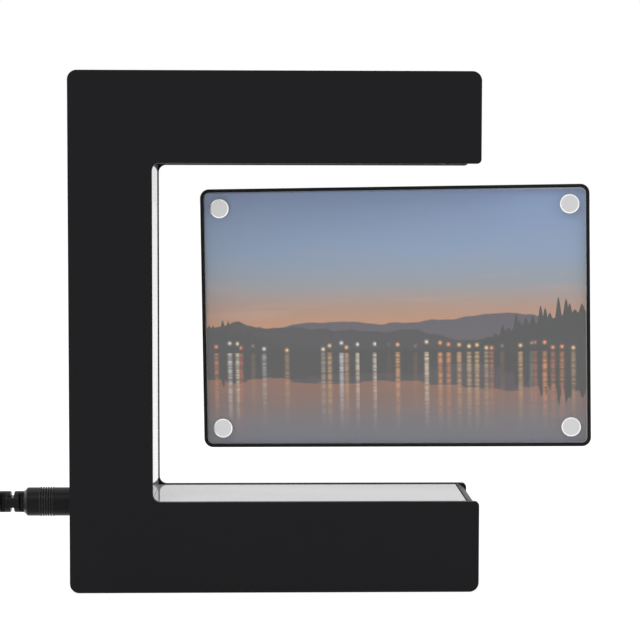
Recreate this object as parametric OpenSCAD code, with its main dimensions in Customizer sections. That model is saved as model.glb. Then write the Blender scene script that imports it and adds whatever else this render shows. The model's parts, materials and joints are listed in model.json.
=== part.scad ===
// Levitating photo frame: a C-shaped stand that holds a flat photo panel in mid-air by a magnet.
// Origin: centre of the base's footprint on the table. X to the open side, Y to the back, Z up.

/* [Stand] */
// Width of the stand, from the column's outer side to the arm tips
stand_w = 160; // [156:0.5:180]
// Height of the stand above the table
stand_h = 203.5; // [200:0.5:230]
// Depth of the stand, front to back
stand_d = 53; // [48:0.5:60]
// Width of the column
column_w = 32.4; // [32:0.1:38]
// Height of the top arm
arm_h = 35.7; // [35:0.1:42]
// Height of the base, from the table to its upper face
base_h = 35.9; // [34:0.1:42]
// Wall of the casing
wall = 2.5; // [2:0.1:3]
// Wall that closes the tip of each arm
tip_wall = 4.4; // [3:0.1:5]
// Radius of the casing's outer corners
corner_r = 3.7; // [2:0.1:6]
// Radius of the plates' corners at the arm tips, beside the mouth
tip_r = 1.7; // [0.5:0.1:3]
// Radius of the edge between the tip wall's end and the mouth
end_r = 5; // [0.5:0.1:6]
// Radius of the mouth's inner corners
mouth_r = 3; // [1:0.1:6]
// Thickness of the anti-slip pad
pad_t = 1.2; // [0.8:0.1:1.6]
// Height of the pad below the casing
pad_proud = 0.2; // [0.1:0.1:0.6]

/* [Rear cover screws] */
// Diameter of the screw bosses
boss_d = 7; // [6.5:0.1:8]
// Diameter of the screw shanks
screw_d = 2.8; // [2.2:0.1:3]
// Length of the screw shanks
screw_l = 12; // [8:0.5:16]
// Diameter of the screw heads
screw_head_d = 5.4; // [4.6:0.1:5.6]
// Height of the screw heads
screw_head_h = 1.5; // [1.2:0.1:1.6]

/* [Light panels] */
// Thickness of the light panels, two opal ones and a smoked one in the arm
sheet_t = 2.4; // [2:0.1:3]
// Depth of the light panels' faces below the casing's rim
sheet_recess = 0.3; // [0.1:0.1:1.5]
// Clear depth of the light trays
tray_depth = 7; // [6:0.1:8]
// Wall of the light trays
tray_wall = 1.2; // [1:0.1:1.6]
// Section of the rails that carry the trays
rail = 1.6; // [1.2:0.1:2]
// Width of the light strips
strip_w = 8; // [6:0.1:10]
// Thickness of the light strips
strip_t = 1; // [0.6:0.1:1.4]
// Spacing of the light chips
chip_pitch = 16.7; // [12:0.1:25]
// Length, width and height of a light chip
chip = [3.5, 2.8, 0.8]; // [0.5:0.1:5]

/* [Electromagnet] */
// Distance of the lift axis from the arm tips
lift_in = 31.5; // [31:0.1:34]
// Diameter of the iron core
core_d = 12; // [10:0.1:14]
// Diameter of the bobbin's flanges
bobbin_d = 38; // [34:0.1:38]
// Wall and flange thickness of the bobbin
bobbin_wall = 1.2; // [0.8:0.1:1.6]
// Free edge of the flanges outside the winding
winding_in = 1; // [0.5:0.1:2]
// Width of the yoke plate
yoke_w = 34; // [30:0.5:38]
// Thickness of the yoke plate
yoke_t = 2.5; // [2:0.1:3]
// Distance of the yoke screws from the lift axis
yoke_reach = 22.5; // [22:0.1:23]
// Height of the posts that carry the yoke plate
post_h = 5; // [4:0.1:6]
// Diameter of the core screw
core_screw_d = 4; // [3:0.1:5]
// Depth of the core screw in the core
core_screw_l = 8; // [6:0.5:10]
// Width of the sensor board
sensor_board_w = 8; // [6:0.1:9]
// Thickness of the sensor board
sensor_board_t = 1; // [0.6:0.1:1.2]
// Length, width and height of the sensor
sensor = [4, 3, 1.4]; // [1:0.1:6]
// Space between the sensor and the smoked panel
sensor_gap = 0.5; // [0.3:0.1:1]

/* [Control board] */
// Space between the control board and the screw bosses at its ends
board_gap = 8.7; // [2:0.1:12]
// Width of the control board
board_w = 38; // [36:0.5:40]
// Thickness of the control board
board_t = 1.6; // [1:0.1:2]
// Height of the stand-offs
standoff_h = 5; // [4:0.1:6]
// Diameter of the stand-offs
standoff_d = 6; // [5.4:0.1:7]
// Distance of the board's screws from its edges
board_hole_in = 3.5; // [3.2:0.1:4.5]
// Diameter of the board's screws
board_screw_d = 2.4; // [2:0.1:2.6]
// Length of the board's screws
board_screw_l = 5; // [4:0.1:6]
// Height of the connectors
plug_block = 6; // [5:0.1:7]
// Diameter of the capacitors
capacitor_d = 8; // [6:0.1:9]

/* [Ballast] */
// Length of the ballast plate
ballast_l = 106; // [60:1:120]
// Thickness of the ballast plate
ballast_t = 8; // [4:0.1:9]

/* [Floating panel] */
// Width of the panel
panel_w = 155; // [150:0.5:160]
// Height of the panel
panel_h = 104; // [96:0.5:108]
// Thickness of the panel
panel_t = 10; // [9.5:0.1:14]
// Share of the mouth's free height that lies above the panel
float_share = 0.315; // [0.25:0.005:0.6]
// Turn of the panel about the lift axis, in degrees
panel_turn = 7; // [0:0.5:10]
// Tilt of the panel in its own plane, in degrees
panel_tilt = 0.95; // [0:0.05:2]
// Radius of the panel's corners
panel_r = 3.6; // [2:0.1:6]
// Width of the tray's rim
rim = 1; // [0.8:0.1:2]
// Thickness of the tray's floor
floor_t = 1.5; // [1.2:0.1:2]
// Thickness of the panel's rear plate
back_t = 1.5; // [1.2:0.1:2]
// Width of the ledge that carries the rear plate
ledge = 1.2; // [0.8:0.1:2]
// Thickness of the clear cover
cover_t = 2.5; // [2:0.1:3]
// Thickness of the photo print
print_t = 0.3; // [0.2:0.05:0.5]
// Diameter of the magnet discs
disc_d = 7.6; // [6:0.1:9]
// Distance of the discs' centres from the panel's edges
disc_in = 7.8; // [7:0.1:10]
// Height of the discs above the cover
disc_proud = 0.4; // [0.2:0.1:0.8]
// Thickness of the magnets in the tray
tray_magnet_t = 2; // [1.5:0.1:2.4]
// Diameter of the lift magnet
lift_d = 5.4; // [4:0.1:5.6]
// Length of the lift magnet
lift_l = 18; // [12:0.5:24]
// Wall above the lift magnet
lift_wall = 1.6; // [1.2:0.1:3]

/* [Power lead] */
// Height of the DC jack's axis above the table
jack_z = 32.3; // [30:0.1:34]
// Length, width and height of the jack's block
jack = [13, 10, 11]; // [8:0.1:14]
// Diameter of the jack's nose in the casing
jack_nose_d = 8.6; // [8:0.1:9.5]
// Depth of the jack's bore from the casing's outer face
jack_bore_l = 10.4; // [10:0.1:11]
// Outer diameter of the plug's barrel
barrel_d = 5.5; // [5:0.1:6]
// Inner diameter of the plug's barrel
barrel_bore_d = 2.1; // [1.9:0.05:2.6]
// Length of the barrel outside the plug
barrel_l = 9.8; // [9:0.1:9.9]
// Length of the barrel inside the plug
barrel_root = 5; // [4:0.1:8]
// Diameter of the moulded plug over its grip rings
plug_d = 11.8; // [10:0.1:13]
// Length of the moulded plug
plug_l = 20.2; // [16:0.1:24]
// Chamfer at the plug's cord end
plug_chamfer = 1.3; // [0.6:0.1:2]
// Number of grip rings
grip_count = 6; // [3:1:8]
// Spacing of the grip rings
grip_pitch = 1; // [0.8:0.1:1.2]
// Height of the grip rings above the plug
grip_h = 0.2; // [0.1:0.05:0.4]
// Depth of the grooves between the grip rings, below the plug's surface
grip_cut = 0.4; // [0.1:0.05:0.6]
// Distance of the first grip ring from the casing
grip_from = 8.3; // [5:0.1:9]
// Diameter of the bend relief
relief_d = 8.5; // [7:0.1:9]
// Length of the bend relief
relief_l = 16; // [14:0.1:24]
// Spacing of the relief's slots
slot_pitch = 3.7; // [3:0.1:4.5]
// Width of the relief's slots
slot_w = 1.4; // [1:0.1:1.8]
// Thickness of the web left at a slot
slot_web = 4; // [3.6:0.1:5]

/* [Cord and adaptor] */
// Diameter of the cord
cord_d = 3.6; // [3:0.1:3.6]
// Radius of the coil's outer loop
coil_r = 26; // [24:0.5:28]
// Step from one loop of the coil to the next
coil_step = 4.2; // [4.1:0.05:5]
// Length of the cord's run from the relief to the coil
run_l = 46.6; // [44:0.1:60]
// Length of the cord's run from the coil to the adaptor
tail_l = 34.4; // [32:0.1:50]
// Distance of the coil's middle behind the plug's axis
coil_y = 9; // [6:0.5:12]
// Thickness of the tie round the coil
tie_t = 0.6; // [0.4:0.1:0.6]
// Width of the tie
tie_w = 4; // [3:0.5:6]
// Length, width and height of the adaptor's case
adaptor = [58, 38, 26]; // [20:0.5:70]
// Radius of the case's corners
adaptor_r = 4; // [2:0.5:6]
// Diameter of the adaptor's pins
pin_d = 4; // [3.5:0.1:5]
// Length of the adaptor's pins
pin_l = 19; // [15:0.5:20]
// Spacing of the pins
pin_pitch = 18.6; // [16:0.1:20]
// Diameter of the bush on the adaptor
bush_d = 7; // [5:0.1:9]
// Length of the bush on the adaptor
bush_l = 8; // [6:0.5:12]
// Height of the bush's axis above the table
bush_z = 9.8; // [8:0.1:14]

/* [Clearances] */
// Gap between loose pieces
gap = 0.3; // [0.2:0.05:0.4]
// Side clearance of pieces that slide into place
slip = 0.1; // [0.05:0.01:0.15]
// Radial clearance of screws, magnets and pins in their holes
fit = 0.05; // [0.02:0.01:0.1]
// Radial clearance of the plug's barrel in the jack
plug_fit = 0.1; // [0.05:0.01:0.1]

/* [Hidden] */
$fn = 64;
// Sink of joined shapes, and length by which cuts pass their faces
eps = 0.01;
cut = 1;

half_w = stand_w / 2;
half_d = stand_d / 2;
inner_y = half_d - wall;
inner_l = -half_w + wall;
tip_x = half_w - tip_wall;
floor_z = pad_proud + wall;
ceiling_z = stand_h - wall;
mouth_x = -half_w + column_w;
mouth_top = stand_h - arm_h;
mouth_mid = (base_h + mouth_top) / 2;

// Visible faces of the light panels, their backs and their lengths
top_face = mouth_top + sheet_recess;
base_face = base_h - sheet_recess;
side_face = mouth_x - sheet_recess;
top_back = top_face + sheet_t;
base_back = base_face - sheet_t;
side_back = side_face - sheet_t;
arm_l = tip_x - slip - side_back;
side_l = top_face - base_face - 2 * slip;

// Light trays; the top strip runs between the core's hole and the tray's wall
tray_h = tray_depth + tray_wall;
tray_half = inner_y - rail - gap;
flange_half = inner_y - slip;
core_hole_d = core_d + 4 * gap;
strip_off = (core_hole_d / 2 + tray_half - tray_wall) / 2;
strip_end = tray_wall + strip_t;

// Electromagnet, from the tray upwards
lift_x = half_w - lift_in;
bobbin_z = top_back + tray_h;
yoke_top = ceiling_z - post_h;
yoke_z = yoke_top - yoke_t;
bobbin_h = yoke_z - bobbin_z;
core_z = top_back + sensor_gap + sensor.z + sensor_board_t;
spool_d = core_d + 2 * fit + 2 * bobbin_wall;
winding_d = bobbin_d - 2 * winding_in;
terminal = [4, 8, 6];
terminal_x = lift_x - winding_d / 2 - gap - terminal.x;
yoke_r = 2;
yoke_l = 2 * yoke_reach + boss_d;

// Screw bosses of the rear cover, in the XZ plane
boss_sink = 0.5;
boss_room = 2;
boss_x = inner_l + boss_d / 2 - boss_sink;
tip_boss_x = tip_x - boss_d / 2 - 2 * gap;
column_low = jack_z + jack.z / 2 + boss_room + boss_d / 2;
column_high = 2 * mouth_mid - column_low;
arm_boss_z = (bobbin_z + yoke_z - screw_head_h) / 2;
low_boss_z = (floor_z + ballast_t + base_back - tray_h - rail) / 2;
BOSSES = [
    [boss_x, floor_z + boss_d / 2 - boss_sink],
    [boss_x, column_low],
    [boss_x, column_high],
    [boss_x, ceiling_z - boss_d / 2 + boss_sink],
    [0, ceiling_z - boss_d / 2 + boss_sink],
    [tip_boss_x, arm_boss_z],
    [0, low_boss_z],
    [tip_boss_x, low_boss_z],
];
head_recess = screw_head_h + slip;

// Control board in the column, standing on its edge beside the outer wall
board_x = inner_l + standoff_h;
board_face = board_x + board_t;
board_room = side_back - tray_h - rail - board_face;
board_l = column_high - column_low - boss_d - 2 * board_gap;
board_low = mouth_mid - board_l / 2;
board_high = mouth_mid + board_l / 2;
block_mid = board_face + plug_block / 2;
block_edge = board_hole_in + standoff_d / 2 + 2 * gap;
block_w = 0.21 * board_w;
block_y = 0.26 * board_w;
low_block = board_low + block_edge;
high_block = board_high - block_edge;

// Wires inside the casing; the light wires reach their trays this far from the trays' ends
wire_d = 2.4;
light_wire_d = 1.8;
light_wire_in = 7;

// Ballast between two ribs on the base's floor
ballast_shift = 4;
ballast_x = ballast_shift - ballast_l / 2;
rib_t = 2;

// Panel frame: origin on the lift axis at the panel's mid-height, y along the panel's normal
float_gap = float_share * (mouth_top - base_h - panel_h);
panel_z = mouth_top - float_gap - panel_h / 2;
stack_t = cover_t + print_t;
panel_front = -stack_t - (panel_t - stack_t) / 2;
panel_back_y = panel_front + panel_t;
floor_front = panel_front + stack_t;
floor_back = floor_front + floor_t;
plate_front = panel_back_y - back_t;
recess_w = panel_w - 2 * rim;
recess_h = panel_h - 2 * rim;
recess_r = panel_r - rim;
cover_w = recess_w - 2 * gap;
cover_h = recess_h - 2 * gap;
cover_r = recess_r - gap;
disc_x = panel_w / 2 - disc_in;
disc_z = panel_h / 2 - disc_in;
lift_top = panel_z + panel_h / 2 - lift_wall;
sleeve_wall = 2;
sleeve_w = lift_d + 2 * sleeve_wall;
sleeve_h = lift_l + lift_wall + sleeve_wall;

// Lead: distances along the plug, measured from the casing's outer face to the left
plug_face = -half_w - gap;
relief_face = plug_face - plug_l;
cord_face = relief_face - relief_l;

// Cord: a coil of four layers on the table, and the free runs to its top and from its bottom
coil_loops = 2;
coil_layers = 4;
coil_turns = coil_layers * coil_loops;
coil_low = tie_t + 2 * slip + cord_d / 2;
coil_high = coil_low + (coil_layers - 1) * coil_step;
relief_end = [cord_face, 0, jack_z];
coil_c = [cord_face - run_l - cord_d, coil_y];
coil_start = [coil_c.x + cord_d, coil_c.y - coil_r, coil_high];
coil_end = [coil_c.x - cord_d, coil_c.y - coil_r, coil_low];
bush_face = [coil_end.x - tail_l, adaptor.y / 2 - half_d, bush_z];
adaptor_x = bush_face.x - bush_l;

// Points of the free runs, as shares of the way along each axis
RUN_SHARES = [
    [0, 0, 0],
    [0.077, 0, 0],
    [0.219, 0.071, 0.057],
    [0.369, 0.257, 0.23],
    [0.519, 0.514, 0.494],
    [0.67, 0.757, 0.747],
    [0.798, 0.943, 0.943],
    [0.923, 1, 1],
    [1, 1, 1],
];
TAIL_SHARES = [
    [0, 0, 0],
    [0.105, 0, 0],
    [0.273, 0.1, 0.097],
    [0.448, 0.35, 0.361],
    [0.622, 0.675, 0.694],
    [0.797, 0.925, 0.931],
    [0.895, 1, 1],
    [1, 1, 1],
];

// Vector helpers and a tube swept along a list of points
function unit(v) = v / norm(v);
function along(path, i) = unit(path[min(i + 1, len(path) - 1)] - path[max(i - 1, 0)]);
function ring(at, dir, r, sides, ref) =
    let (a = unit(cross(ref, dir)), b = cross(dir, a))
    [for (k = [0:sides - 1]) at + r * (cos(360 * k / sides) * a + sin(360 * k / sides) * b)];
function bezier(a, b, c, d, steps) =
    [for (i = [0:steps]) let (t = i / steps, s = 1 - t)
        s * s * s * a + 3 * s * s * t * b + 3 * s * t * t * c + t * t * t * d];

// A bend from one point to another that leaves and arrives straight, by lead vectors, with pulls at its ends
function bend(from, lead, pull, to, to_lead, to_pull) =
    [from, each bezier(from + lead, from + lead + pull, to + to_lead + to_pull, to + to_lead, 10), to];

module tube(path, r, sides, ref) {
    n = len(path);
    points = [for (i = [0:n - 1]) each ring(path[i], along(path, i), r, sides, ref)];
    walls = [for (i = [0:n - 2], k = [0:sides - 1])
        let (m = (k + 1) % sides, a = i * sides, b = a + sides)
        each [[a + k, b + k, a + m], [a + m, b + k, b + m]]];
    start = [for (k = [1:sides - 2]) [0, k, k + 1]];
    end = [for (k = [1:sides - 2]) [(n - 1) * sides, (n - 1) * sides + k + 1, (n - 1) * sides + k]];
    polyhedron(points, concat(walls, start, end));
}

// A slab of a flat shape in the XZ plane, from y0 to y1
module slab(y0, y1) {
    translate([0, y1, 0]) rotate([90, 0, 0]) linear_extrude(y1 - y0) children();
}

// A cylinder along X or along Y that starts at a point
module rod_x(at, d, l) {
    translate(at) rotate([0, 90, 0]) cylinder(d = d, h = l);
}

module rod_y(at, d, l) {
    translate(at) rotate([-90, 0, 0]) cylinder(d = d, h = l);
}

// The piece between a square corner and its round, on the side that dir points to
module corner_bit(at, dir, r) {
    difference() {
        translate(at + r * [min(dir.x, 0), min(dir.y, 0)]) square(r);
        translate(at + r * dir) circle(r);
    }
}

// A rounded rectangle about the origin
module round_rect(w, h, r) {
    square([w - 2 * r, h], center = true);
    square([w, h - 2 * r], center = true);
    for (x = [-1, 1], y = [-1, 1])
        translate([x * (w / 2 - r), y * (h / 2 - r)]) circle(r);
}

// Front outline of the stand, with the mouth open to the right and its tips rounded to r
module c_outline(r) {
    difference() {
        union() {
            difference() {
                translate([-half_w, pad_proud]) square([stand_w, stand_h - pad_proud]);
                translate([mouth_x, base_h]) square([stand_w, mouth_top - base_h]);
            }
            corner_bit([mouth_x, base_h], [1, 1], mouth_r);
            corner_bit([mouth_x, mouth_top], [1, -1], mouth_r);
        }
        for (x = [-1, 1]) {
            corner_bit([x * half_w, pad_proud], [-x, 1], corner_r);
            corner_bit([x * half_w, stand_h], [-x, -1], corner_r);
        }
        corner_bit([half_w, base_h], [-1, -1], r);
        corner_bit([half_w, mouth_top], [-1, 1], r);
    }
}

module cavity() {
    translate([inner_l, floor_z]) square([tip_x - inner_l, ceiling_z - floor_z]);
}

// The three trays: each is drawn with its open side at z = 0 and its length along x
module at_top() {
    translate([side_back, 0, top_back]) rotate([180, 0, 0]) children();
}

module at_base() {
    translate([side_back, 0, base_back]) children();
}

module at_side() {
    translate([side_back, 0, top_face - slip]) rotate([0, 90, 0]) children();
}

// Rails on both walls that carry a tray's flange; side is -1 for the front wall
module tray_rail(l, side, z) {
    translate([0, side * (inner_y - rail / 2), z]) translate([0, -rail / 2, 0]) cube([l, rail, rail]);
}

module rails(side) {
    at_top() tray_rail(arm_l, -side, -tray_depth);
    at_base() tray_rail(arm_l, side, -tray_h - rail);
    at_side() tray_rail(side_l, side, -tray_h - rail);
}

module board_holes() {
    for (y = [-1, 1], z = [board_low + board_hole_in, board_high - board_hole_in])
        translate([0, y * (board_w / 2 - board_hole_in), z]) children();
}

module yoke_holes() {
    for (x = [-1, 1]) translate([lift_x + x * yoke_reach, 0, 0]) children();
}

module front_shell() {
    color("#262628") difference() {
        union() {
            slab(-half_d, -inner_y) c_outline(tip_r);
            slab(-inner_y - eps, inner_y) difference() {
                c_outline(end_r);
                cavity();
            }
            for (b = BOSSES) rod_y([b.x, -inner_y - eps, b.y], boss_d, 2 * inner_y + eps);
            board_holes() rod_x([inner_l - eps, 0, 0], standoff_d, standoff_h + eps);
            yoke_holes() translate([0, 0, yoke_top]) cylinder(d = boss_d, h = post_h + eps);
            for (x = [ballast_x - rib_t - slip, ballast_x + ballast_l + slip])
                translate([x, -inner_y - eps, floor_z - eps])
                    cube([rib_t, 2 * inner_y - slip, ballast_t / 2]);
            rails(-1);
        }
        for (b = BOSSES) rod_y([b.x, inner_y - screw_l - cut, b.y], screw_d + 2 * fit, screw_l + 2 * cut);
        board_holes() rod_x([inner_l, 0, 0], board_screw_d + 2 * fit, standoff_h + cut);
        yoke_holes() translate([0, 0, yoke_top - cut]) cylinder(d = screw_d + 2 * fit, h = post_h + cut);
        rod_x([-half_w - cut, 0, jack_z], jack_nose_d + 2 * fit, wall + 2 * cut);
        translate([0, 0, pad_proud - cut]) linear_extrude(pad_t - pad_proud + cut) pad_outline(slip);
    }
}

module pad_outline(extra) {
    pad_in = 1.5 * corner_r;
    round_rect(stand_w - 2 * pad_in + 2 * extra, stand_d - 2 * pad_in + 2 * extra, corner_r + extra);
}

module base_pad() {
    color("#1c1c1c") linear_extrude(pad_t) pad_outline(0);
}

module rear_cover() {
    color("#242426") difference() {
        union() {
            slab(inner_y, half_d) c_outline(tip_r);
            rails(1);
        }
        for (b = BOSSES) {
            rod_y([b.x, inner_y - cut, b.y], screw_d + 4 * fit, wall + 2 * cut);
            rod_y([b.x, half_d - head_recess, b.y], screw_head_d + 2 * gap, head_recess + cut);
        }
    }
}

// A pan-head screw with a cross recess, its head's seat at z = 0 and its shank downwards
module pan_screw(d, l, head_d, head_h) {
    slot = head_d / 8;
    difference() {
        union() {
            translate([0, 0, -l]) cylinder(d = d, h = l + eps);
            cylinder(d = head_d, h = head_h);
        }
        for (a = [0, 90]) rotate([0, 0, a])
            translate([-head_d / 3, -slot / 2, head_h / 2]) cube([2 * head_d / 3, slot, head_h]);
    }
}

module rear_screws() {
    color("#1a1a1a") for (b = BOSSES)
        translate([b.x, half_d - head_recess, b.y]) rotate([-90, 0, 0])
            pan_screw(screw_d, screw_l - head_recess + wall, screw_head_d, screw_head_h);
}

module light_sheet(l) {
    translate([0, -inner_y + slip, 0]) cube([l, 2 * (inner_y - slip), sheet_t]);
}

module top_smoked() {
    color("#3a3a3a") at_top() light_sheet(arm_l);
}

module base_opal() {
    color("#e8e8e6") at_base() light_sheet(arm_l);
}

module side_opal() {
    color("#e8e8e6") at_side() light_sheet(side_l);
}

module light_tray(l) {
    difference() {
        union() {
            translate([0, -tray_half, -tray_h]) cube([l, 2 * tray_half, tray_h]);
            translate([0, -flange_half, -tray_h]) cube([l, 2 * flange_half, tray_wall]);
        }
        translate([tray_wall, tray_wall - tray_half, -tray_depth])
            cube([l - 2 * tray_wall, 2 * (tray_half - tray_wall), tray_depth + cut]);
    }
}

module top_light_tray() {
    color("white") difference() {
        at_top() light_tray(arm_l);
        translate([lift_x, 0, top_back]) cylinder(d = core_hole_d, h = tray_h + cut);
    }
}

module base_light_tray() {
    color("white") at_base() light_tray(arm_l);
}

module side_light_tray() {
    color("white") at_side() light_tray(side_l);
}

module light_strip(l, y) {
    translate([strip_end, y - strip_w / 2, -tray_depth]) cube([l - 2 * strip_end, strip_w, strip_t]);
}

module top_light_strip() {
    color("#f2f0e6") at_top() light_strip(arm_l, strip_off);
}

module base_light_strip() {
    color("#f2f0e6") at_base() light_strip(arm_l, 0);
}

module side_light_strip() {
    color("#f2f0e6") at_side() light_strip(side_l, 0);
}

module chip_row(l, y) {
    run = l - 2 * strip_end - chip_pitch;
    count = floor(run / chip_pitch) + 1;
    for (i = [0:count - 1])
        translate([l / 2 + (i - (count - 1) / 2) * chip_pitch, y, -tray_depth + strip_t])
            translate([-chip.x / 2, -chip.y / 2, 0]) cube(chip);
}

module light_chips() {
    color("#f6e58c") {
        at_top() chip_row(arm_l, strip_off);
        at_base() chip_row(arm_l, 0);
        at_side() chip_row(side_l, 0);
    }
}

module yoke_plate() {
    color("#8c8f94") difference() {
        translate([lift_x, 0, yoke_z]) linear_extrude(yoke_t) round_rect(yoke_l, yoke_w, yoke_r);
        yoke_holes() translate([0, 0, yoke_z - cut]) cylinder(d = screw_d + 4 * fit, h = yoke_t + 2 * cut);
        translate([lift_x, 0, yoke_z - cut]) cylinder(d = core_screw_d + 4 * fit, h = yoke_t + 2 * cut);
    }
}

module yoke_screws() {
    color("silver") yoke_holes() translate([0, 0, yoke_z]) mirror([0, 0, 1])
        pan_screw(screw_d, yoke_t + post_h - gap, screw_head_d, screw_head_h);
}

module magnet_core() {
    color("#77797d") difference() {
        translate([lift_x, 0, core_z]) cylinder(d = core_d, h = yoke_z - core_z);
        translate([lift_x, 0, yoke_z - core_screw_l - gap])
            cylinder(d = core_screw_d + 2 * fit, h = core_screw_l + 2 * cut);
    }
}

module core_screw() {
    color("silver") translate([lift_x, 0, yoke_top])
        pan_screw(core_screw_d, yoke_t + core_screw_l, 2 * core_screw_d, post_h / 2);
}

module coil_bobbin() {
    color("#3a3a3c") difference() {
        union() {
            translate([lift_x, 0, bobbin_z]) {
                cylinder(d = spool_d, h = bobbin_h);
                cylinder(d = bobbin_d, h = bobbin_wall);
                translate([0, 0, bobbin_h - bobbin_wall]) cylinder(d = bobbin_d, h = bobbin_wall);
            }
            translate([terminal_x, -terminal.y / 2, bobbin_z]) cube(terminal);
        }
        translate([lift_x, 0, bobbin_z - cut]) cylinder(d = core_d + 2 * fit, h = bobbin_h + 2 * cut);
    }
}

module coil_winding() {
    color("#b8622c") difference() {
        translate([lift_x, 0, bobbin_z + bobbin_wall])
            cylinder(d = winding_d, h = bobbin_h - 2 * bobbin_wall);
        translate([lift_x, 0, bobbin_z]) cylinder(d = spool_d, h = bobbin_h);
    }
}

module sensor_board() {
    color("#2f6b3a") translate([lift_x - sensor_board_w / 2, -sensor_board_w / 2, core_z - sensor_board_t])
        cube([sensor_board_w, sensor_board_w, sensor_board_t]);
}

module hall_sensor() {
    color("#1e1e1e") translate([lift_x - sensor.x / 2, -sensor.y / 2, top_back + sensor_gap]) cube(sensor);
}

module control_board() {
    color("#2f6b3a") difference() {
        translate([board_x, -board_w / 2, board_low]) cube([board_t, board_w, board_l]);
        board_holes() rod_x([board_x - cut, 0, 0], board_screw_d + 4 * fit, board_t + 2 * cut);
    }
}

module board_screws() {
    color("silver") board_holes() translate([board_face, 0, 0]) rotate([0, 90, 0])
        pan_screw(board_screw_d, board_screw_l, 1.8 * board_screw_d, board_screw_d / 2);
}

// A block on the component side of the board: its middle, width and height there, and how far it stands up
module on_board(y, z, size, up) {
    translate([board_face, y - size.x / 2, mouth_mid + z - size.y / 2]) cube([up, size.x, size.y]);
}

module board_chips() {
    controller = 0.18 * board_w;
    driver = 0.16 * board_w;
    regulator = 0.12 * board_w;
    color("#202124") {
        on_board(0, 0.065 * board_l, [controller, controller], board_t);
        for (y = [-0.24, 0]) on_board(y * board_w, 0.24 * board_l, [driver, driver], 1.5 * board_t);
        on_board(0.21 * board_w, -0.15 * board_l, [regulator, regulator], board_t);
    }
}

module board_capacitors() {
    color("#34495e") for (z = [-0.24, -0.11])
        rod_x([board_face, -0.21 * board_w, mouth_mid + z * board_l], capacitor_d, board_room - 4 * gap);
}

module board_connectors() {
    color("#efe9d8") {
        for (y = [-1, 1], z = [-1, 1])
            on_board(y * block_y, z * (board_l / 2 - block_edge - plug_block / 2),
                [block_w, plug_block], plug_block);
        on_board(-block_y, 0, [block_w, plug_block], plug_block);
    }
}

module dc_jack() {
    color("#171717") difference() {
        union() {
            rod_x([-half_w, 0, jack_z], jack_nose_d, wall + eps);
            translate([inner_l, -jack.y / 2, jack_z - jack.z / 2]) cube(jack);
        }
        rod_x([-half_w - cut, 0, jack_z], barrel_d + 2 * plug_fit, jack_bore_l + cut);
    }
}

module jack_pin() {
    color("#d9c27a") rod_x([wall / 2 - half_w, 0, jack_z], barrel_bore_d - 2 * fit, jack_bore_l - wall / 2);
}

// Wires inside the casing, each along one smooth bend between the faces that it joins
module supply_wire() {
    from = [inner_l + jack.x, 0, jack_z];
    to = [block_mid, block_y, low_block];
    drop = [0, 0, 0.46 * (from.z - to.z)];
    path = bend(from, [wire_d, 0, 0], [1.25 * wire_d, 0, 0], to, [0, 0, -wire_d], drop);
    color("#b03030") tube(path, wire_d / 2, 6, [0, 1, 0]);
}

module coil_wire() {
    from = [block_mid, block_y, high_block];
    to = [terminal_x, 0, bobbin_z + terminal.z / 2];
    rise = [0, 0, 1.25 * (to.z - high_block)];
    back = [block_mid + wire_d - to.x, 0, 0];
    path = bend(from, [0, 0, wire_d], rise, to, [-wire_d, 0, 0], back);
    color("#c58b2a") tube(path, wire_d / 2, 6, [0, 1, 0]);
}

module light_wires() {
    hole_x = side_back + light_wire_in;
    up = [0, 0, light_wire_d];
    side_from = [board_face + plug_block, -block_y, mouth_mid];
    side_to = [side_back - tray_h, -block_y, mouth_mid];
    low_from = [block_mid, -block_y, low_block];
    low_to = [hole_x, -block_y, base_back - tray_h];
    low_pull = [0, 0, low_from.z - floor_z - ballast_t];
    high_from = [block_mid, -block_y, high_block];
    high_to = [hole_x, -block_y, bobbin_z];
    high_pull = [0, 0, ceiling_z - high_from.z];
    color("#d8d8d8") {
        tube([side_from, side_to], light_wire_d / 2, 6, [0, 1, 0]);
        tube(bend(low_from, -up, -low_pull, low_to, -up, -5 * up), light_wire_d / 2, 6, [0, 1, 0]);
        tube(bend(high_from, up, high_pull, high_to, up, 5 * up), light_wire_d / 2, 6, [0, 1, 0]);
    }
}

module ballast_plate() {
    color("#5d6064") translate([ballast_x, -inner_y + slip, floor_z])
        cube([ballast_l, 2 * (inner_y - slip), ballast_t]);
}

// Places a shape drawn in the panel's own frame
module on_panel() {
    translate([lift_x, 0, panel_z]) rotate([0, -panel_tilt, -panel_turn]) children();
}

module discs(d, y, t) {
    for (x = [-1, 1], z = [-1, 1]) rod_y([x * disc_x, y, z * disc_z], d, t);
}

module lift_bore(d, extra) {
    translate([lift_x, 0, lift_top - lift_l - extra]) cylinder(d = d, h = lift_l + extra);
}

module lift_magnet() {
    color("#b9bcc0") lift_bore(lift_d, 0);
}

module panel_tray() {
    ledge_w = recess_w - 2 * ledge;
    ledge_h = recess_h - 2 * ledge;
    color("#1d1d1f") difference() {
        on_panel() difference() {
            union() {
                difference() {
                    slab(panel_front, panel_back_y) round_rect(panel_w, panel_h, panel_r);
                    slab(panel_front - cut, floor_front) round_rect(recess_w, recess_h, recess_r);
                    slab(plate_front, panel_back_y + cut) round_rect(recess_w, recess_h, recess_r);
                    slab(floor_back, plate_front + eps) round_rect(ledge_w, ledge_h, recess_r);
                }
                discs(disc_d + 2 * floor_t, floor_back - eps, plate_front - floor_back - gap);
                translate([-sleeve_w / 2, floor_back - eps, panel_h / 2 - sleeve_h])
                    cube([sleeve_w, plate_front - floor_back, sleeve_h - rim]);
            }
            discs(disc_d + 2 * fit, floor_front - cut, tray_magnet_t + cut);
        }
        translate([0, 0, fit]) lift_bore(lift_d + 2 * fit, 3 * sleeve_wall);
    }
}

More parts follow.
